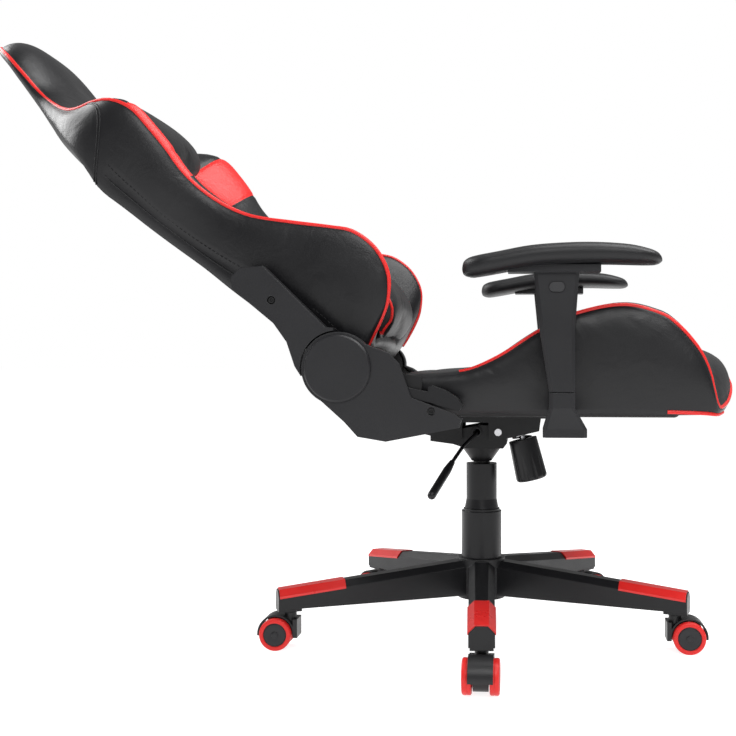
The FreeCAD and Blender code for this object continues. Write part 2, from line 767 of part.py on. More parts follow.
def recline_lever():
    """A paddle beside the right cover, pulled up to free the backrest."""
    arm = side_plate(LEVER_ARM_OUTLINE, LEVER_PLATE)
    hub = hinge_disc(2 * LEVER_PIVOT_RADIUS + 2, LEVER_PLATE)
    paddle = side_plate(PADDLE_OUTLINE, (LEVER_PLATE[0] - 10, LEVER_PLATE[1]))
    lever = fused([arm, hub, paddle]).cut(hinge_disc(LEVER_PIVOT_RADIUS + RUNNING, (270, 290)))
    return on_side(lever, SIDES["right"])


# Backrest. Everything is drawn upright with the hinge at the origin, so X is v and Z is u.

BACK_FRAME_PATH = [(4, 205, 14), (4, 205, 440), (12, 100, 590), (56, 88, 745)]


def back_frame_ring(radius):
    left = [vec(*point) for point in BACK_FRAME_PATH]
    right = [vec(point.x, -point.y, point.z) for point in reversed(left)]
    return bent_tube(radius, left + right, closed=True)


def back_lugs(radius):
    lugs = [disc(radius, 4, u, (200, BACK_PLATE[0])) for u in LUG_HEIGHTS]
    return [piece for lug in lugs for piece in both_sides(lug)]


def back_frame():
    """A tube ring moulded into the foam, with lugs for the side brackets."""
    return leaned(fused([back_frame_ring(FRAME_TUBE), *back_lugs(LUG_RADIUS)]))


def back_frame_space():
    return fused([back_frame_ring(FRAME_TUBE + FOAM_GAP), *back_lugs(LUG_RADIUS + FOAM_GAP)])


BACK_PLAN = [
    (242, -8),
    (250, 40),
    (251, 150),
    (247, 300),
    (266, 420),
    (BACK_WIDEST, 490),
    (258, 550),
    (200, 596),
    (157, 632),
    (146, 690),
    (132, 770),
    (95, 822),
    (0, BACK_TOP),
]


def back_plan(low, high):
    """The backrest's outline seen from the front, between two depths."""
    mirrored = [(-y, z) for y, z in reversed(BACK_PLAN[:-1])]
    return front_plate([], low, high, [*BACK_PLAN, *mirrored])


HEAD_LINE = [(BACK_FACE, 560), (74, 640), (87, 730), (89, 790), (74, BACK_TOP)]
MIDDLE_REAR = [
    (60, BACK_TOP),
    (53, 765),
    (15, 662),
    (BACK_REAR, 560),
    (BACK_REAR, -4),
    (54, -4),
    (BACK_FACE, 20),
]
WING_LINE = [
    (50, -8),
    (84, -8),
    (122, 6),
    (153, 28),
    (176, 83),
    (159, 142),
    (99, 249),
    (84, 333),
    (101, 413),
    (118, 490),
    (108, 526),
    (66, 557),
    (52, 590),
    (44, 625),
]
WING_REAR = [(10, 640), (BACK_REAR, 560), (BACK_REAR, -8)]
WING_SECTION = [
    (BACK_REAR - 1, BACK_CENTRE_HALF),
    (BACK_REAR - 1, WING_HALF_WIDTH),
    (190, WING_HALF_WIDTH),
    (190, 232),
    (BACK_FACE, BACK_CENTRE_HALF),
]


def back_middle():
    """The foam of the centre panel and the head part."""
    middle = side_plate(MIDDLE_REAR, (-BACK_CENTRE_HALF, BACK_CENTRE_HALF), HEAD_LINE)
    return middle.common(back_plan(BACK_REAR - 2, 200))


def back_wing():
    wing = side_plate(WING_REAR, (BACK_CENTRE_HALF, WING_HALF_WIDTH), WING_LINE)
    wing = wing.common(plan_plate(WING_SECTION, -20, 700))
    return wing.common(back_plan(BACK_REAR - 2, 200))


def backrest_cushion():
    """Foam in three pieces: the middle with the head part, and a wing on each side."""
    space = back_frame_space()
    return [leaned(foam.cut(space)) for foam in [back_middle(), *both_sides(back_wing())]]


def pillow(depth, half_width, low, high, rounding):
    block = box((BACK_FACE + 1, -half_width, low), (BACK_FACE + 1 + depth, half_width, high))
    return block.makeFillet(rounding, block.Edges)


def head_pillow():
    """It leans on the head part, whose shape its back follows."""
    return leaned(pillow(58, 135, 442, 622, 26).cut(back_middle()))


def lumbar_cushion():
    return leaned(pillow(72, 150, 4, 204, 30))


# Armrests


# Rear, front and height of each level, and half its depth
ARM_FOOT_LEVELS = [
    (102, 165, 361, 21),
    (102, 165, 373, 21),
    (111, 148, 403, 16),
    (111, 148, ARM_FOOT_TOP, 15.5),
]
SLEEVE_LEVELS = [(111, 148, ARM_FOOT_TOP + 1), (97, 148, 517), (89, 154, 598)]
SLEEVE_HOLLOW = [(114, 145, ARM_FOOT_TOP), (100, 145, 517), (92, 151, 591)]
PAD_TOP = [
    (-14, 603),
    (-3, 615),
    (36, 628),
    (83, 637),
    (130, 640),
    (176, 640),
    (223, 636),
    (254, 630),
    (271, 617),
]
PAD_UNDER = [(264, 608), (184, 609), (98, 607), (68, 603), (3, 591), (-9, 594)]


def arm_section(rear, front, z, half_depth, corner=ARM_CORNER):
    """A level section of the armrest's column, with its corners cut off."""
    outline = [
        (rear + corner, -half_depth),
        (front - corner, -half_depth),
        (front, corner - half_depth),
        (front, half_depth - corner),
        (front - corner, half_depth),
        (rear + corner, half_depth),
        (rear, half_depth - corner),
        (rear, corner - half_depth),
    ]
    return [vec(x, ARM_MIDDLE + y, z) for x, y in outline]


def arm_post():
    """The fixed post and its flared foot, which holds the end of the front rail."""
    foot = stacked([arm_section(*level) for level in ARM_FOOT_LEVELS])
    rear, front, top = ARM_POST
    depth = ARM_POST_HALF_DEPTH
    post = box((rear, ARM_MIDDLE - depth, ARM_FOOT_TOP - 5), (front, ARM_MIDDLE + depth, top))
    return fused([foot, post]).cut(rail(RAIL_FRONT, ARM_MIDDLE + depth))


def pad_plate():
    low, high = PAD_PLATE
    return moved(box(low, high), AXIS_Y * ARM_MIDDLE)


def arm_sleeve():
    """The hollow housing that slides up the post, with the plate that carries the pad."""
    shell = stacked([arm_section(*level, ARM_HALF_DEPTH) for level in SLEEVE_LEVELS])
    hollow = stacked(
        [arm_section(*level, ARM_HALF_DEPTH - ARM_WALL, ARM_CORNER - 1) for level in SLEEVE_HOLLOW]
    )
    x, z, width, height = ARM_BUTTON
    layer = (ARM_MIDDLE + 10, ARM_MIDDLE + 20)
    button_hole = oval(x, z, width + 2 * RUNNING, height + 2 * RUNNING, layer)
    return fused([shell.cut(hollow), pad_plate()]).cut(button_hole)


def arm_button():
    return oval(*ARM_BUTTON, (ARM_MIDDLE + 11, ARM_MIDDLE + ARM_HALF_DEPTH + 2.5))


def arm_pad():
    """A gently arched pad with round ends, let in over the carrying plate."""
    across = (ARM_MIDDLE - PAD_HALF_WIDTH, ARM_MIDDLE + PAD_HALF_WIDTH)
    pad = side_plate(PAD_UNDER, across, PAD_TOP)
    rear, front = PAD_ENDS[0] + PAD_HALF_WIDTH, PAD_ENDS[1] - PAD_HALF_WIDTH
    ends = [rod(PAD_HALF_WIDTH, vec(x, ARM_MIDDLE, 580), vec(x, ARM_MIDDLE, 650)) for x in (rear, front)]
    rounded_ends = fused([box((rear, across[0], 580), (front, across[1], 650)), *ends])
    return pad.common(rounded_ends).cut(pad_plate())


def write(name, shape):
    pieces = shape if isinstance(shape, list) else [shape]
    solids = [solid for piece in pieces for solid in piece.Solids]
    Part.makeCompound(solids).exportStep(f"parts/{name}.step")


ONE_OF_EACH = [
    star_base,
    leg_inserts,
    castor_stems,
    gas_cylinder,
    guide_bush,
    thrust_bearing,
    lift_cover_lower,
    lift_cover_upper,
    piston_rod,
    pressure_tube,
    mechanism_housing,
    tilt_plate,
    tilt_pin,
    tilt_spring,
    tension_bolt,
    tension_knob,
    lever_collar,
    lift_lever_rod,
    lift_lever_grip,
    seat_frame,
    fixing_bolts,
    seat_cushion,
    recline_lever,
    back_frame,
    backrest_cushion,
    head_pillow,
    lumbar_cushion,
]
MIRRORED_PAIRS = [back_bracket, arm_post, arm_sleeve, arm_button, arm_pad]
HANDED_PAIRS = [seat_bracket, seat_side_cover, hinge_cap, back_side_cover]  # the two sides differ

for part in ONE_OF_EACH:
    write(part.__name__, part())

for side_name, side in SIDES.items():
    for part in MIRRORED_PAIRS:
        write(f"{part.__name__}_{side_name}", on_side(part(), side))
    for part in HANDED_PAIRS:
        write(f"{part.__name__}_{side_name}", on_side(part(side), side))

for index in range(LEG_COUNT):
    place = index + 1
    write(f"castor_housing_{place}", [castor_place(piece, index) for piece in castor_housing()])
    for side_name, side in SIDES.items():
        write(f"castor_wheel_{side_name}_{place}", castor_place(castor_wheel(side), index))
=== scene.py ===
import bisect
import json
import math

import bmesh
import bpy
from mathutils import Matrix, Vector, noise


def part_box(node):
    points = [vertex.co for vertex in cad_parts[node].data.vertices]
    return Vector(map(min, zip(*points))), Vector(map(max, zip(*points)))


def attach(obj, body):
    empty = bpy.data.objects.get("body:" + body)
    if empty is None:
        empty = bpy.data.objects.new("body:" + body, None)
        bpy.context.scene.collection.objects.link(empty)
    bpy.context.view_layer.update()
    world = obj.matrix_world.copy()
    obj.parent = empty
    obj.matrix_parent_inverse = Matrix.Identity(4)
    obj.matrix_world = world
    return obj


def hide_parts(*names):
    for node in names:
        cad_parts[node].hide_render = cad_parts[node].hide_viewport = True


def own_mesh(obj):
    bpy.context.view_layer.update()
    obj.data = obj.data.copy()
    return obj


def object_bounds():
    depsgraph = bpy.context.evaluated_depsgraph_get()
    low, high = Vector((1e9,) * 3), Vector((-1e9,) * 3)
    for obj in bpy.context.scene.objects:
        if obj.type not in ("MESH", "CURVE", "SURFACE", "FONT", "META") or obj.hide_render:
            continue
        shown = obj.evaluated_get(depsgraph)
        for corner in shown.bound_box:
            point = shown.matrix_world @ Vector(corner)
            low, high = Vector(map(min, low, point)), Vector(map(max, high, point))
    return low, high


# A reclining gaming chair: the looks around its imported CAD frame.
# Lengths are written in mm and turned into metres where a piece is placed. X points to the chair's front,
# Y to the sitter's left and Z up. The backrest is shaped in its own frame, as wide (across), up (along the
# back from the hinge) and out (from its rear face towards the sitter).

MM = 0.001
SIDES = {"right": -1, "left": 1}
RECLINE = math.radians(52.5)
PIPING_RADIUS = 3.1
THREAD_RADIUS = 0.55
STITCH_LENGTH = 4.5
STITCH_PITCH = 7.5

RED = (0.62, 0.018, 0.016)
BLACK_LEATHER = (0.0065, 0.0065, 0.0075)

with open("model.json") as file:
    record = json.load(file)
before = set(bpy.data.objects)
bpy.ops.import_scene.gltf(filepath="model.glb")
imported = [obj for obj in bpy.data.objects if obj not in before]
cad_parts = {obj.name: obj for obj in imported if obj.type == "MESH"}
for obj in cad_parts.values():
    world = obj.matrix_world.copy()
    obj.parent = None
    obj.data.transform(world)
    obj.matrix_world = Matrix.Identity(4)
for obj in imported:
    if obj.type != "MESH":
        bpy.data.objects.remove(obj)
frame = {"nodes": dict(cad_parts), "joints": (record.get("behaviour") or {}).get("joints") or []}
cad_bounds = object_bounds()
nodes = frame["nodes"]
joints = {joint["name"]: joint for joint in frame["joints"]}
HINGE = Vector(joints["recline"]["pos_m"])


# Numbers and curves


def lerp(a, b, t):
    return a + (b - a) * t


def smooth_step(low, high, value):
    """0 at low, 1 at high, and smooth between. low may be the greater one."""
    t = min(max((value - low) / (high - low), 0), 1)
    return t * t * (3 - 2 * t)


def dip(distance, half_width):
    """1 on a seam and 0 away from it."""
    return math.exp(-((distance / half_width) ** 2))


def through(*knots):
    """A smooth function of one number that passes through the (place, value) knots."""
    places = [place for place, _ in knots]
    values = [value for _, value in knots]
    slopes = []
    for index in range(len(knots)):
        before = max(index - 1, 0)
        after = min(index + 1, len(knots) - 1)
        slopes.append((values[after] - values[before]) / (places[after] - places[before]))

    def at(place):
        index = min(max(bisect.bisect(places, place) - 1, 0), len(places) - 2)
        gap = places[index + 1] - places[index]
        t = min(max((place - places[index]) / gap, 0), 1)
        ends = lerp(values[index], values[index + 1], t * t * (3 - 2 * t))
        bend = slopes[index] * (1 - t) - slopes[index + 1] * t
        return ends + gap * t * (1 - t) * bend

    return at


def bezier(controls, steps):
    """Points along a Bezier curve, from its start up to but not including its end."""
    points = []
    for step in range(steps):
        layer = [Vector(control) for control in controls]
        while len(layer) > 1:
            layer = [a.lerp(b, step / steps) for a, b in zip(layer, layer[1:])]
        points.append(layer[0])
    return points


def stations(low, high, count, seams, spread=3):
    """Places from low to high, closer together at both ends and on each side of every seam."""
    middle = (low + high) / 2
    half = (high - low) / 2
    places = [middle - half * math.cos(math.pi * index / count) for index in range(count + 1)]
    near = [seam + step * spread for seam in seams for step in (-3, -2, -1, 0, 1, 2, 3)]
    places = [p for p in places if all(abs(p - seam) > 3.5 * spread for seam in seams)]
    return sorted({*places, *near})


# Materials


def add(tree, kind, inputs=None, **settings):
    """A shader node. An input's value is a number, a colour or another node's output socket."""
    made = tree.nodes.new(kind)
    for name, value in settings.items():
        setattr(made, name, value)
    for name, value in (inputs or {}).items():
        socket = made.inputs[name]
        if isinstance(value, bpy.types.NodeSocket):
            tree.links.new(value, socket)
        else:
            socket.default_value = value
    return made


def shade(colour, amount):
    return tuple(min(part * amount, 1) for part in colour) + (1,)


def surface(name, colour, roughness, variation=0.15, metallic=0.0, coat=0.0):
    """A material with uneven colour and gloss. Gives its tree, coordinates and shader to build on."""
    material = bpy.data.materials.new(name)
    material.use_nodes = True
    tree = material.node_tree
    shader = tree.nodes["Principled BSDF"]
    place = add(tree, "ShaderNodeTexCoord").outputs["Object"]
    patches = add(
        tree, "ShaderNodeTexNoise", {"Vector": place, "Scale": 14.0, "Detail": 5.0, "Roughness": 0.6}
    ).outputs["Fac"]
    tint = add(tree, "ShaderNodeMixRGB", {"Fac": patches})
    tint.inputs["Color1"].default_value = shade(colour, 1 - variation)
    tint.inputs["Color2"].default_value = shade(colour, 1 + variation)
    tree.links.new(tint.outputs["Color"], shader.inputs["Base Color"])
    gloss = add(
        tree,
        "ShaderNodeMapRange",
        {
            "Value": patches,
            "From Min": 0.3,
            "From Max": 0.7,
            "To Min": roughness - 0.05,
            "To Max": roughness + 0.06,
        },
    )
    tree.links.new(gloss.outputs["Result"], shader.inputs["Roughness"])
    shader.inputs["Metallic"].default_value = metallic
    shader.inputs["Specular IOR Level"].default_value = 0.30
    shader.inputs["Coat Weight"].default_value = coat
    return material, tree, place, shader


def raised(tree, height, strength, distance, normal=None):
    inputs = {"Height": height, "Strength": strength, "Distance": distance}
    if normal:
        inputs["Normal"] = normal
    return add(tree, "ShaderNodeBump", inputs).outputs["Normal"]


def leather(name, colour, roughness=0.36):
    """Polyurethane leather: fine pebbled grain, soft creases and a thin top coat."""
    material, tree, place, shader = surface(name, colour, roughness)
    creases = add(
        tree,
        "ShaderNodeTexNoise",
        {"Vector": place, "Scale": 22.0, "Detail": 3.0, "Distortion": 1.2},
    ).outputs["Fac"]
    grain = add(
        tree, "ShaderNodeTexVoronoi", {"Vector": place, "Scale": 520.0}, feature="DISTANCE_TO_EDGE"
    ).outputs["Distance"]
    normal = raised(tree, creases, 0.25, 0.004)
    normal = raised(tree, grain, 0.22, 0.0006, normal)
    tree.links.new(normal, shader.inputs["Normal"])
    return material


def plastic(name, colour, roughness, texture=0.25, edge=0.0012, coat=0.0):
    """Moulded plastic: spark-eroded texture and softened edges, which catch the light in a thin line."""
    material, tree, place, shader = surface(name, colour, roughness, 0.08, coat=coat)
    rounded = add(tree, "ShaderNodeBevel", {"Radius": edge}, samples=6).outputs["Normal"]
    pits = add(
        tree, "ShaderNodeTexNoise", {"Vector": place, "Scale": 900.0, "Detail": 2.0}
    ).outputs["Fac"]
    normal = raised(tree, pits, texture, 0.0004, rounded)
    tree.links.new(normal, shader.inputs["Normal"])
    return material


def metal(name, colour, roughness, painted=False):
    """Brushed or powder-coated metal."""
    material, tree, place, shader = surface(
        name, colour, roughness, 0.12, metallic=0.0 if painted else 1.0
    )
    rounded = add(tree, "ShaderNodeBevel", {"Radius": 0.0008}, samples=4).outputs["Normal"]
    scale = 700.0 if painted else 260.0
    marks = add(tree, "ShaderNodeTexNoise", {"Vector": place, "Scale": scale, "Detail": 4.0}).outputs["Fac"]
    tree.links.new(raised(tree, marks, 0.18, 0.0003, rounded), shader.inputs["Normal"])
    return material


def woven(name, colour):
    """Thin non-woven cloth under the seat."""
    material, tree, place, shader = surface(name, colour, 0.85, 0.3)
    threads = add(
        tree, "ShaderNodeTexWave", {"Vector": place, "Scale": 260.0, "Distortion": 2.0}
    ).outputs["Fac"]
    tree.links.new(raised(tree, threads, 0.3, 0.0004), shader.inputs["Normal"])
    shader.inputs["Sheen Weight"].default_value = 0.3
    return material


black_leather = leather("black_leather", BLACK_LEATHER)
pillow_leather = leather("pillow_leather", (0.009, 0.009, 0.010), 0.42)
red_leather = leather("red_leather", RED, 0.34)
red_thread = plastic("red_thread", (0.55, 0.02, 0.02), 0.6)
black_thread = plastic("black_thread", (0.014, 0.014, 0.015), 0.6)
under_cloth = woven("under_cloth", (0.012, 0.012, 0.013))
red_tyre = plastic("red_tyre", RED, 0.38, 0.15)
hub_plastic = plastic("hub_plastic", (0.016, 0.016, 0.018), 0.40)
pad_rubber = plastic("pad_rubber", (0.0065, 0.0065, 0.0075), 0.42, 0.5, 0.003)
# Screw steel: black paint, darkened further as painted shade, so the screws read as the shaded counterbores
# they sit in.
screw_steel_painted_shade = metal("screw_steel_painted_shade", (0.003, 0.003, 0.0035), 0.55, painted=True)

FINISHES = {
    "base_nylon": plastic("nylon", (0.0065, 0.0065, 0.0075), 0.36, 0.3, 0.0016),
    "red_plastic": plastic("red_gloss", RED, 0.30, 0.12, 0.0012, coat=0.2),
    "inner_plastic": plastic("acetal", (0.6, 0.6, 0.58), 0.45),
    "black_plastic": plastic("black_plastic", (0.0055, 0.0055, 0.0065), 0.36),
    "cover_plastic": plastic("cover_plastic", (0.012, 0.012, 0.0135), 0.42, 0.35, 0.0018),
    "arm_plastic": plastic("arm_plastic", (0.010, 0.010, 0.0115), 0.42, 0.3, 0.0016),
    "button_plastic": plastic("button_plastic", (0.03, 0.03, 0.032), 0.35),
    "castor_plastic": plastic("castor_plastic", (0.014, 0.014, 0.015), 0.34),
    "bright_steel": metal("bright_steel", (0.62, 0.62, 0.64), 0.28),
    "black_steel": metal("black_steel", (0.004, 0.004, 0.0045), 0.42, painted=True),
    # frame_steel: black paint, darkened further as painted shade; its bracket plate fills the recess by the
    # recline lever and stands for the deep shade there.
    "frame_steel": metal("frame_steel", (0.0035, 0.0035, 0.004), 0.5, painted=True),
}


def finish_cad_nodes():
    for node in nodes.values():
        slot_name = node.data.materials[0].name
        if slot_name in FINISHES:
            node.data.materials[0] = FINISHES[slot_name]


# Building pieces


def linked(name, data):
    """A new object in the scene."""
    made = bpy.data.objects.new(name, data)
    bpy.context.scene.collection.objects.link(made)
    return made


def mesh_piece(name, points, faces, materials, material_of=None):
    mesh = bpy.data.meshes.new(name)
    mesh.from_pydata([tuple(point) for point in points], [], faces)
    for material in materials:
        mesh.materials.append(material)
    if material_of:
        for polygon, index in zip(mesh.polygons, material_of):
            polygon.material_index = index
    shaped = bmesh.new()
    shaped.from_mesh(mesh)
    bmesh.ops.recalc_face_normals(shaped, faces=shaped.faces)
    shaped.to_mesh(mesh)
    shaped.free()
    mesh.polygons.foreach_set("use_smooth", [True] * len(mesh.polygons))
    return linked(name, mesh)


def cords(name, paths, radius, material):
    """Round welts or threads along the paths, as one piece."""
    curve = bpy.data.curves.new(name, "CURVE")
    curve.dimensions = "3D"
    curve.bevel_depth = radius * MM
    curve.bevel_resolution = 3
    curve.use_fill_caps = True
    for path in paths:
        spline = curve.splines.new("POLY")
        spline.points.add(len(path) - 1)
        for point, at in zip(spline.points, path):
            point.co = (*at, 1)
    curve.materials.append(material)
    return linked(name, curve)


def stitches(name, paths, material):
    """Short threads laid along the paths, with the gaps of a sewn line between them."""
    threads = []
    for path in paths:
        travelled = 0.0
        for start, end in zip(path, path[1:]):
            length = (end - start).length / MM
            while travelled < length:
                first = start.lerp(end, travelled / length)
                along = (end - start).normalized()
                threads.append([first, first + along * STITCH_LENGTH * MM])
                travelled += STITCH_PITCH
            travelled -= length
    return cords(name, threads, THREAD_RADIUS, material)


def lathe(name, profile, matrix, materials, material_from=(0,), steps=64):
    """A turned piece. profile is (along the axis, radius) pairs, and material_from says where each
    material starts."""
    points = []
    faces = []
    kinds = []
    for along, radius in profile:
        for step in range(steps):
            angle = 2 * math.pi * step / steps
            point = Vector((radius * math.cos(angle), radius * math.sin(angle), along)) * MM
            points.append(matrix @ point)
    for ring in range(len(profile) - 1):
        kind = sum(ring >= start for start in material_from) - 1
        for step in range(steps):
            following = (step + 1) % steps
            base = ring * steps
            above = base + steps
            faces.append((base + step, base + following, above + following, above + step))
            kinds.append(kind)
    piece = mesh_piece(name, points, faces, materials, kinds)
    piece.data.set_sharp_from_angle(angle=math.radians(35))
    return piece


def axis_matrix(origin, axis):
    return Matrix.Translation(origin) @ Vector(axis).to_track_quat("Z", "Y").to_matrix().to_4x4()


# Upholstered shells. A section is half an outline, from the middle of the face, over the side's piped edge,
# round to the middle of the rear or underside. Its points are (across, height).

PANEL_STEPS = 12
WING_STEPS = 16
SIDE_STEPS = 16
REAR_STEPS = 10
CREASE = PANEL_STEPS
EDGE = PANEL_STEPS + WING_STEPS
REAR = EDGE + SIDE_STEPS
REAR_SEAM = REAR - 3
SEAM_STEPS = 24
DOME_SHARE = 0.5  # how much of a domed face the panel's columns take


def dome(share, half, edge, face):
    """A rounded face between two piped edges, at a share of the way out to one of them."""
    return Vector((half * share, edge + (face - edge) * (1 - share**2.6) ** 0.72))


def half_section(
    face, panel, edge_half, edge, crest, half, base, domed, panel_dip=0, wing_dip=0, rear_dip=0, bulge=0
):
    """Half a section of a shell with a flat panel between bolsters (domed 0) or one round face (domed 1)."""
    across = edge_half - panel
    rise = edge - face
    bolster = [
        (panel, face - 2),
        (panel + 0.30 * across, face + 0.10 * rise),
        (edge_half - 0.16 * across, edge + 2.1 * crest),
        (edge_half, edge),
    ]
    points = []
    for step in range(PANEL_STEPS):
        share = step / PANEL_STEPS
        height = face - 2 + 5 * (1 - share**4) - panel_dip * (1 - share**8)
        flat = Vector((panel * share, height))
        points.append(flat.lerp(dome(share * DOME_SHARE, edge_half, edge, face), domed))
    for step, point in enumerate(bezier(bolster, WING_STEPS)):
        share = step / WING_STEPS
        point.y -= wing_dip * math.sin(math.pi * share) ** 0.5
        round_share = lerp(DOME_SHARE, 1, share)
        points.append(point.lerp(dome(round_share, edge_half, edge, face), domed))
    height = edge - base
    tuck = min(10, 0.2 * half, 0.25 * height)
    corner = min(9, 0.1 * half)
    outer_side = [
        (edge_half, edge),
        (half + 0.5 * tuck, edge - 0.03 * height),
        (half + tuck, edge - 0.34 * height),
        (half + 0.3 * tuck, base + 0.25 * height),
        (half - corner, base),
    ]
    flank = bezier(outer_side, SIDE_STEPS)
    flank[REAR_SEAM - EDGE].x -= rear_dip
    points += flank
    low = base - 3 - bulge
    under = [(half - corner, base), (0.8 * half, low + 1), (0.4 * half, low), (0, low)]
    points += bezier(under, REAR_STEPS)
    points.append(Vector(under[-1]))
    return points


def shrunk(points, inset):
    """The section drawn in towards its middle, to round a shell's end."""
    middle = (points[0].y + points[-1].y) / 2
    reach = max(point.x for point in points)
    depth = max(abs(point.y - middle) for point in points)
    return [
        Vector((point.x * (1 - inset / reach), middle + (point.y - middle) * (1 - min(inset / depth, 0.9))))
        for point in points
    ]


def end_inset(distance, radius):
    """How far a rounded end has drawn in, at a distance from the very end."""
    if distance >= radius:
        return 0
    return radius - math.sqrt(radius**2 - (radius - distance) ** 2)


def on_shell(section_at, place, station, column, side):
    """A point on a shell, at a station along it and a column round it, which may lie between two."""
    points = section_at(station)
    index = min(int(column), len(points) - 2)
    point = points[index].lerp(points[index + 1], column - index)
    return place(station, side * point.x, point.y)


def shell(name, places, section_at, place, materials, material_at):
    """The closed skin over all the sections."""
    points = []
    faces = []
    kinds = []
    for station in places:
        half = section_at(station)
        mirrored = [Vector((-point.x, point.y)) for point in reversed(half[1:-1])]
        points += [place(station, point.x, point.y) for point in half + mirrored]
    columns = len(points) // len(places)
    for row in range(len(places) - 1):
        middle = (places[row] + places[row + 1]) / 2
        for column in range(columns):
            following = (column + 1) % columns
            base = row * columns
            above = base + columns
            faces.append((base + column, base + following, above + following, above + column))
            kinds.append(material_at(middle, min(column, columns - 1 - column)))
    faces.append(tuple(range(columns)))
    faces.append(tuple(range(len(points) - columns, len(points))))
    kinds += [kinds[0]] * 2
    return mesh_piece(name, points, faces, materials, kinds)


def uneven(piece, amount, scale):
    """Moves the surface in and out a little, as leather over foam sits."""
    normals = [vertex.normal.copy() for vertex in piece.data.vertices]
    for vertex, normal in zip(piece.data.vertices, normals):
        vertex.co += normal * noise.noise(vertex.co * scale) * amount * MM


# Backrest

BACK_BOTTOM = -8
BACK_TOP = 826
HEAD_CLOSE = BACK_TOP + 0.5  # where the head's outline would close, just past the last section
HEAD_START = 690
HEAD_HALF = 146
SHOULDER_SEAM_FRONT = 562  # where the side's double seam meets the piping
SHOULDER_SEAM_REAR = 470  # and the rear edge
BACK_CHANNELS = [225, 285, 345, 405]
RED_LOW = 405
RED_HIGH = 503
RED_EDGE_LOW = 362  # the red runs further down in the narrow strip beside the piping
RED_EDGE_COLUMN = CREASE + 13

back_outline = through(
    (-8, 242), (40, 250), (150, 251), (300, 247), (420, 266), (480, 273), (530, 266), (565, 243), (600, 208),
    (636, 174), (664, 154), (HEAD_START, HEAD_HALF),
)
back_edge = through(
    (-8, 66), (-2, 95), (7, 122), (28, 153), (56, 170), (83, 176), (115, 173), (142, 159), (196, 128),
    (249, 99), (288, 88), (333, 84), (376, 89), (413, 101), (450, 111), (490, 118), (528, 108), (556, 86),
    (575, 65), (600, 51), (636, 43), (677, 41), (727, 50), (770, 56), (800, 56), (826, 54),
)
back_face = through(
    (-8, 56), (25, 65), (560, 65), (620, 69), (676, 78), (748, 93), (780, 93), (803, 87), (818, 77), (826, 62)
)
back_rear = through(
    (-8, -9), (440, -11), (465, -8), (488, 0), (518, 9), (556, 15), (611, 18), (640, 18), (683, 25),
    (732, 37), (765, 44), (826, 49),
)
# The rear's middle swells by this much, over the frame's tubes.
back_bulge = through(
    (-8, 0), (440, 0), (490, 9), (520, 17), (556, 22), (600, 22), (640, 10), (690, 3), (826, 0)
)
back_crest = through(
    (-8, 0), (60, 2), (200, 2), (250, 6), (333, 8), (430, 16), (500, 16), (545, 9), (600, 2)
)
back_panel = through((-8, 140), (60, 150), (480, 148), (560, 140), (600, 120), (640, 100))


def back_half(up):
    if up <= HEAD_START:
        return back_outline(up)
    share = (up - HEAD_START) / (HEAD_CLOSE - HEAD_START)
    return HEAD_HALF * (1 - share**3) ** 0.45


def back_section(up):
    half = back_half(up)
    domed = smooth_step(560, 640, up)
    panel_dip = sum(4 * dip(up - channel, 5) for channel in BACK_CHANNELS)
    wing_dip = sum(2.2 * dip(up - seam, 4) for seam in (RED_LOW, RED_HIGH))
    points = half_section(
        back_face(up),
        min(back_panel(up), half - 8),
        half - min(6, 0.06 * half),
        back_edge(up),
        back_crest(up),
        half - 4,
        back_rear(up),
        domed,
        panel_dip,
        wing_dip,
        rear_dip=6 * smooth_step(SHOULDER_SEAM_REAR, SHOULDER_SEAM_REAR - 20, up),
        bulge=back_bulge(up),
    )
    return shrunk(points, end_inset(up - BACK_BOTTOM, 14))


def back_place(up, across, out):
    """From the backrest's own frame to the chair's."""
    x = -up * math.sin(RECLINE) + out * math.cos(RECLINE)
    z = up * math.cos(RECLINE) + out * math.sin(RECLINE)
    return HINGE + Vector((x, across, z)) * MM


def back_box(node):
    """A backrest node's lowest and highest (across, up, out), in mm."""
    found = []
    for vertex in nodes[node].data.vertices:
        offset = (vertex.co - HINGE) / MM
        up = -offset.x * math.sin(RECLINE) + offset.z * math.cos(RECLINE)
        out = offset.x * math.cos(RECLINE) + offset.z * math.sin(RECLINE)
        found.append((offset.y, up, out))
    return [min(axis) for axis in zip(*found)], [max(axis) for axis in zip(*found)]


def both_sides(section_at, place, places, column):
    """The line along a column of the shell, on the right side and on the left."""
    return [
        [on_shell(section_at, place, station, column, side) for station in places]
        for side in SIDES.values()
    ]


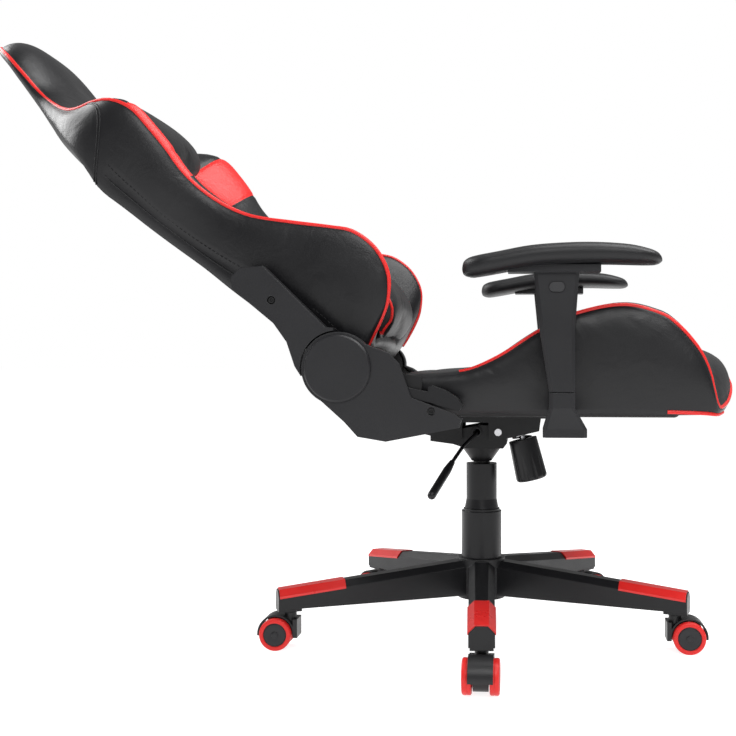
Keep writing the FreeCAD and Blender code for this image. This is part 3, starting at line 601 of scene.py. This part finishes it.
def backrest():
    places = stations(BACK_BOTTOM, BACK_TOP, 120, [*BACK_CHANNELS, RED_EDGE_LOW, RED_HIGH])

    def material_at(up, column):
        on_wing = CREASE <= column < EDGE
        low = RED_LOW if column < RED_EDGE_COLUMN else RED_EDGE_LOW
        return 1 if on_wing and low < up < RED_HIGH else 0

    leathers = [black_leather, red_leather]
    skin = shell("backrest_cover", places, back_section, back_place, leathers, material_at)
    uneven(skin, 1.6, 14)
    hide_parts("backrest_cushion")
    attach(skin, "backrest")

    right_edge, left_edge = both_sides(back_section, back_place, places, EDGE)
    piping = cords("backrest_piping", [right_edge + left_edge[::-1]], PIPING_RADIUS, red_leather)
    crease_range = [up for up in places if 20 < up < 590]
    creases = both_sides(back_section, back_place, crease_range, CREASE)
    welts = cords("backrest_panel_welts", creases, 2.0, red_leather)

    felled = []
    for side in SIDES.values():
        for shift in (-2.5, 2.5):
            line = []
            for step in range(SEAM_STEPS + 1):
                share = step / SEAM_STEPS
                up = lerp(SHOULDER_SEAM_FRONT, SHOULDER_SEAM_REAR, share) + shift
                line.append(on_shell(back_section, back_place, up, lerp(EDGE + 0.4, REAR, share), side))
            felled.append(line)
    low_range = [up for up in places if 12 < up < SHOULDER_SEAM_REAR]
    rear_seams = both_sides(back_section, back_place, low_range, REAR_SEAM + 0.6)
    seams = cords("backrest_seams", felled + rear_seams, 1.0, black_leather)
    rows = both_sides(back_section, back_place, low_range, REAR_SEAM - 1)
    rows += both_sides(back_section, back_place, crease_range, CREASE + 1)
    sewing = stitches("backrest_stitches", rows, black_thread)
    for piece in (piping, welts, seams, sewing):
        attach(piece, "backrest")


# Seat

SEAT_REAR = -150
SEAT_NOSE = 407
SEAT_CHANNELS = [-80, -5, 70, 145, 220, 295]

seat_face = through(
    (-150, 424), (-122, 445), (-18, 452), (130, 457), (260, 472), (330, 487), (365, 487), (390, 476),
    (402, 463), (407, 450),
)
seat_edge = through(
    (-150, 422), (-110, 446), (-15, 455), (38, 477), (97, 514), (158, 542), (224, 553), (278, 539),
    (300, 524), (320, 503), (336, 480), (348, 452), (355, 423), (361, 403), (373, 402), (390, 412),
    (402, 430), (407, 446),
)
seat_outline = through(
    (-150, 240), (-110, 249), (300, 252), (340, 250), (358, 244), (366, 232), (376, 206), (390, 160),
    (402, 100), (407, 20),
)
seat_under = through((-150, 390), (350, 390), (372, 393), (392, 407), (403, 428), (407, 445))
seat_crest = through((-150, 0), (-20, 3), (80, 10), (224, 12), (300, 12), (350, 8), (366, 0))


def seat_section(along):
    half = seat_outline(along)
    panel_dip = sum(4 * dip(along - channel, 5) for channel in SEAT_CHANNELS)
    points = half_section(
        seat_face(along),
        min(160, 0.7 * half),
        half - min(7, 0.06 * half),
        seat_edge(along),
        seat_crest(along),
        half - 2,
        seat_under(along),
        smooth_step(330, 372, along),
        panel_dip,
    )
    return shrunk(points, end_inset(along - SEAT_REAR, 12))


def seat_place(along, across, height):
    return Vector((along, across, height)) * MM


def seat():
    places = stations(SEAT_REAR, SEAT_NOSE, 110, SEAT_CHANNELS)

    def material_at(along, column):
        return 1 if column >= REAR + 1 else 0

    cloths = [black_leather, under_cloth]
    skin = shell("seat_cover", places, seat_section, seat_place, cloths, material_at)
    uneven(skin, 1.4, 14)
    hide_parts("seat_cushion")
    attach(skin, "seat")

    piped_range = [along for along in places if along > -25]
    right_edge, left_edge = both_sides(seat_section, seat_place, piped_range, EDGE)
    piping = cords("seat_piping", [right_edge + left_edge[::-1]], PIPING_RADIUS, red_leather)
    lower_range = [along for along in places if 285 < along < 372]
    lower = both_sides(seat_section, seat_place, lower_range, REAR - 0.5)
    lower_piping = cords("seat_lower_piping", lower, PIPING_RADIUS, red_leather)
    panel_range = [along for along in places if -120 < along < 340]
    creases = both_sides(seat_section, seat_place, panel_range, CREASE)
    welts = cords("seat_panel_welts", creases, 1.6, black_leather)
    rows = both_sides(seat_section, seat_place, panel_range, CREASE + 1)
    sewing = stitches("seat_stitches", rows, black_thread)
    for piece in (piping, lower_piping, welts, sewing):
        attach(piece, "seat")


# Head pillow and lumbar cushion

SIDE_SQUARENESS = 4.5  # of a cushion's sides, where they round over to its face
CUSHION_CUTS = 19
CLOTH_VOXEL = 6
CLOTH_PRESSURE = 4
CLOTH_FRAMES = 20


def cushion_block(half_width, ends, face, rear, pull_in):
    """Where a cushion's block goes, which is -1 to 1 across, up and out. face and rear are its lines up the
    back, and its ends and sides pull in between its corners."""

    def place(across, up, out):
        share = (up + 1) / 2
        at = lerp(*ends, share)
        drawn = pull_in * (1 - across**2) * (1 - 2 * share)
        width = half_width - 0.4 * pull_in * (1 - up**2)
        return back_place(at + drawn, across * width, lerp(rear(at), face(at), (out + 1) / 2))

    return place


def stuffed(name, place, squareness, material):
    """A closed cushion. squareness is of its front outline, and its sides round over to the face."""
    shaped = bmesh.new()
    bmesh.ops.create_cube(shaped, size=2)
    bmesh.ops.subdivide_edges(shaped, edges=shaped.edges, cuts=CUSHION_CUTS, use_grid_fill=True)
    for vertex in shaped.verts:
        across, up, out = vertex.co
        rim = (abs(across) ** squareness + abs(up) ** squareness) ** (1 / squareness)
        size = (rim**SIDE_SQUARENESS + abs(out) ** SIDE_SQUARENESS) ** (1 / SIDE_SQUARENESS)
        vertex.co = place(*(vertex.co / size))
    mesh = bpy.data.meshes.new(name)
    shaped.to_mesh(mesh)
    shaped.free()
    mesh.materials.append(material)
    return linked(name, mesh)


def applied(piece):
    """The piece with its modifiers made part of its mesh."""
    graph = bpy.context.evaluated_depsgraph_get()
    mesh = bpy.data.meshes.new_from_object(piece.evaluated_get(graph))
    piece.modifiers.clear()
    piece.data = mesh
    return piece


def inflate(piece, most):
    """Fills the cover with air in a cloth simulation and keeps each point within most mm of its start."""
    remesh = piece.modifiers.new("remesh", "REMESH")
    remesh.mode = "VOXEL"
    remesh.voxel_size = CLOTH_VOXEL * MM
    applied(piece)
    start = [vertex.co.copy() for vertex in piece.data.vertices]
    scene = bpy.context.scene
    scene.frame_set(1)
    cloth = piece.modifiers.new("cloth", "CLOTH")
    cloth.settings.quality = 4
    cloth.settings.use_pressure = True
    cloth.settings.uniform_pressure_force = CLOTH_PRESSURE
    cloth.settings.effector_weights.gravity = 0
    cloth.point_cache.frame_end = CLOTH_FRAMES
    for number in range(1, CLOTH_FRAMES + 1):
        scene.frame_set(number)
    applied(piece)
    scene.frame_set(1)
    for vertex, before in zip(piece.data.vertices, start):
        shift = vertex.co - before
        if shift.length > most * MM:
            vertex.co = before + shift.normalized() * most * MM


def pillow(name, node, place, squareness, most):
    piece = stuffed(name, place, squareness, pillow_leather)
    inflate(piece, most)
    smooth = piece.modifiers.new("smooth", "SUBSURF")
    smooth.levels = 1
    smooth.render_levels = 1
    applied(piece)
    piece.data.polygons.foreach_set("use_smooth", [True] * len(piece.data.polygons))
    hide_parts(node)
    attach(piece, "backrest")
    return piece


def head_pillow():
    _, high = back_box("head_pillow")
    face = through(
        (448, 74), (456, 88), (478, 104), (506, 114), (534, 117), (560, 116.5), (585, 113), (608, 104),
        (622, 88),
    )
    rear = through((448, 64), (560, 64), (622, 67))
    place = cushion_block(high[0] - 3, (448, high[1] - 2), face, rear, 0)
    pillow("head_pillow_cover", "head_pillow", place, 2.2, 5)


def lumbar_cushion():
    """It hangs a little below the backrest's lower end and has piping along its side edges."""
    _, high = back_box("lumbar_cushion")
    face = through(
        (-17, 84), (-12, 108), (0, 122), (16, 130), (48, 139), (100, 141), (150, 136), (190, 120), (206, 95)
    )
    rear = through((-17, 48), (10, 58), (30, 64), (206, 64))
    place = cushion_block(high[0] - 3, (-17, high[1]), face, rear, 13)
    cushion = pillow("lumbar_cushion_cover", "lumbar_cushion", place, 9, 5)
    bands = []
    steps = 2 * SEAM_STEPS
    for side in SIDES.values():
        band = []
        for step in range(steps + 1):
            angle = math.radians(lerp(-125, 84, step / steps))
            up, out = (
                math.copysign(abs(part) ** (2 / SIDE_SQUARENESS), part)
                for part in (math.sin(angle), math.cos(angle))
            )
            _, point, _, _ = cushion.closest_point_on_mesh(place(side, up, out))
            band.append(point)
        bands.append(band)
    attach(cords("lumbar_cushion_piping", bands, 2.4, red_leather), "backrest")


# Armrest pads

PAD_STEPS = 24
PAD_SQUARENESS = 2.6  # of a pad's ends, seen from above
PAD_END = 0.3  # the first and last sections stand this far in from the pad's ends
pad_top = through(
    (-14, 604), (-12, 612), (-6, 617.5), (4, 621), (36, 627), (83, 635.5), (130, 639), (176, 639.5),
    (223, 636), (250, 630), (263, 625), (269, 619), (271, 614),
)
pad_under = through(
    (-14, 601), (-12, 595), (-6, 592), (3, 591), (68, 602), (98, 606), (184, 609), (258, 607.5), (267, 609),
    (271, 612),
)


def arm_pads():
    """Soft pads with round ends, domed on top and flatter below."""
    for name in SIDES:
        node = f"arm_pad_{name}"
        low, high = (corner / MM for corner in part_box(node))
        half_width = (high.y - low.y) / 2
        middle = (high.y + low.y) / 2

        def pad_section(along):
            end = min(along - low.x, high.x - along, half_width)
            roundness = max(1 - (1 - end / half_width) ** PAD_SQUARENESS, 0.01)
            half = half_width * roundness ** (1 / PAD_SQUARENESS)
            centre = (pad_top(along) + pad_under(along)) / 2
            height = (pad_top(along) - pad_under(along)) / 2
            points = []
            for step in range(PAD_STEPS + 1):
                angle = math.pi * (0.5 - step / PAD_STEPS)
                out = half * abs(math.cos(angle)) ** 0.62
                rise = height * math.copysign(abs(math.sin(angle)) ** 0.80, angle)
                points.append(Vector((out, centre + rise)))
            return points

        def pad_place(along, across, height):
            return Vector((along, middle + across, height)) * MM

        def one_material(along, column):
            return 0

        places = stations(low.x + PAD_END, high.x - PAD_END, 60, [])
        pad = shell(f"armrest_pad_{name}", places, pad_section, pad_place, [pad_rubber], one_material)
        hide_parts(node)
        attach(pad, f"arm_{name}")


# Screws in the side covers' counterbores

COVER_SCREWS = {"backrest": (-299, 560), "seat": (-61, 396)}
SCREW_DEPTH = 3.9  # from a cover's face down to the foot of the screw's head


def cover_screws():
    """Socket-head screws, a little below the covers' faces. Their near-black steel is darkened further as
    painted shade of the counterbores.
    """
    head = [(0, 0), (0, 4.9), (2.4, 4.9), (2.9, 4.4), (2.9, 2.5), (1.2, 2.3), (1.2, 0)]
    for name, side in SIDES.items():
        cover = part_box(f"seat_side_cover_{name}")
        face = max(abs(corner.y) for corner in cover)
        for body, (x, z) in COVER_SCREWS.items():
            place = Vector((x * MM, side * (face - SCREW_DEPTH * MM), z * MM))
            matrix = axis_matrix(place, (0, side, 0))
            screw = lathe(f"{body}_cover_screw_{name}", head, matrix, [screw_steel_painted_shade])
            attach(screw, body)


# Tilt spring


def tilt_spring():
    """The coil spring, a copy of the CAD part carried by the seat."""
    spring = linked("tilt_coil_spring", nodes["tilt_spring"].data.copy())
    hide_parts("tilt_spring")
    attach(spring, "seat")
    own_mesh(spring)


# Castor wheels

CASTORS = 5
WHEEL_WIDTH = 15
HUB_RING = 16  # the tyre's rings end and the hub's begin here in the profile


def castor_wheels():
    """Wheels with a red tyre and a recessed hub, from the fork's side outwards."""
    profile = [
        (0.4, 3.2), (0.4, 15.0), (1.4, 18.0), (0.8, 20.0), (0.8, 24.0), (1.6, 25.4), (3.0, 26.0), (6.9, 26.0),
        (7.2, 25.6), (7.8, 25.6), (8.1, 26.0), (12.4, 26.0), (13.9, 25.2), (14.8, 23.4), (15.0, 21.5),
        (14.7, 19.4), (13.4, 18.8), (13.4, 18.0), (14.2, 17.4), (14.6, 14.5), (13.6, 9.0), (13.6, 5.6),
        (14.6, 5.0), (14.9, 3.6), (15.0, 0.0),
    ]
    for index in range(1, CASTORS + 1):
        for name, side in SIDES.items():
            joint = joints[f"wheel_spin_{name}_{index}"]
            node = f"castor_wheel_{name}_{index}"
            low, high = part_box(node)
            middle = (low + high) / 2
            hub = Vector(joint["pos_m"])
            axis = Vector(joint["axis"]).normalized()
            outward = axis if (middle - hub).dot(axis) > 0 else -axis
            inner = hub + outward * ((middle - hub).dot(outward) - WHEEL_WIDTH / 2 * MM)
            matrix = axis_matrix(inner, outward)
            plastics = [red_tyre, hub_plastic]
            wheel = lathe(f"wheel_{name}_{index}", profile, matrix, plastics, (0, HUB_RING))
            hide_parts(node)
            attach(wheel, joint["child"])


# Studio


def studio():
    """Soft light, mostly from above, a pale floor and a white surround that is dimmer as a light."""
    scene = bpy.context.scene
    scene.view_settings.view_transform = "Standard"
    world = bpy.data.worlds.new("studio")
    world.use_nodes = True
    tree = world.node_tree
    seen = add(tree, "ShaderNodeLightPath").outputs["Is Camera Ray"]
    range_of = {"Value": seen, "To Min": 0.30, "To Max": 1.0}
    strength = add(tree, "ShaderNodeMapRange", range_of).outputs["Result"]
    tree.links.new(strength, tree.nodes["Background"].inputs["Strength"])
    tree.nodes["Background"].inputs["Color"].default_value = (1, 1, 1, 1)
    scene.world = world

    floor_material = bpy.data.materials.new("floor")
    floor_material.use_nodes = True
    shader = floor_material.node_tree.nodes["Principled BSDF"]
    shader.inputs["Base Color"].default_value = (0.5, 0.5, 0.5, 1)
    shader.inputs["Roughness"].default_value = 1.0
    shader.inputs["Emission Color"].default_value = (1, 1, 1, 1)
    shader.inputs["Emission Strength"].default_value = 0.85
    reach = 30
    corners = [(-reach, -reach, 0), (reach, -reach, 0), (reach, reach, 0), (-reach, reach, 0)]
    mesh_piece("floor", corners, [(0, 1, 2, 3)], [floor_material])

    softboxes = {
        "top": ((1.2, 0.0, 3.2), 2.6, 130),
        "front": ((0.6, -3.2, 2.6), 1.6, 70),
        "rear": ((-3.4, 1.0, 2.6), 2.8, 150),
    }
    centre = (cad_bounds[0] + cad_bounds[1]) / 2
    for name, (place, size, power) in softboxes.items():
        light = bpy.data.lights.new(name, "AREA")
        light.size = size
        light.energy = power
        box = bpy.data.objects.new(name, light)
        box.location = place
        box.rotation_euler = (centre - Vector(place)).to_track_quat("-Z", "Y").to_euler()
        scene.collection.objects.link(box)


EYE = (90.9, -1950.4, 481.9)
EYE_YAW = math.radians(4.76)
EYE_PITCH = math.radians(-0.76)
SENSOR_WIDTH = 36
LENS = 55.8245
LENS_SHIFT = -0.0978


def camera():
    """Level with the seat, in front of the chair's right side and a little to its front."""
    view = bpy.data.cameras.new("camera")
    view.sensor_width = SENSOR_WIDTH
    view.lens = LENS
    view.shift_x = LENS_SHIFT
    eye = bpy.data.objects.new("camera", view)
    eye.location = Vector(EYE) * MM
    ahead = math.cos(EYE_PITCH)
    forward = Vector((-math.sin(EYE_YAW) * ahead, math.cos(EYE_YAW) * ahead, math.sin(EYE_PITCH)))
    eye.rotation_euler = forward.to_track_quat("-Z", "Y").to_euler()
    bpy.context.scene.collection.objects.link(eye)
    bpy.context.scene.camera = eye


finish_cad_nodes()
backrest()
seat()
head_pillow()
lumbar_cushion()
arm_pads()
cover_screws()
tilt_spring()
castor_wheels()
studio()
camera()
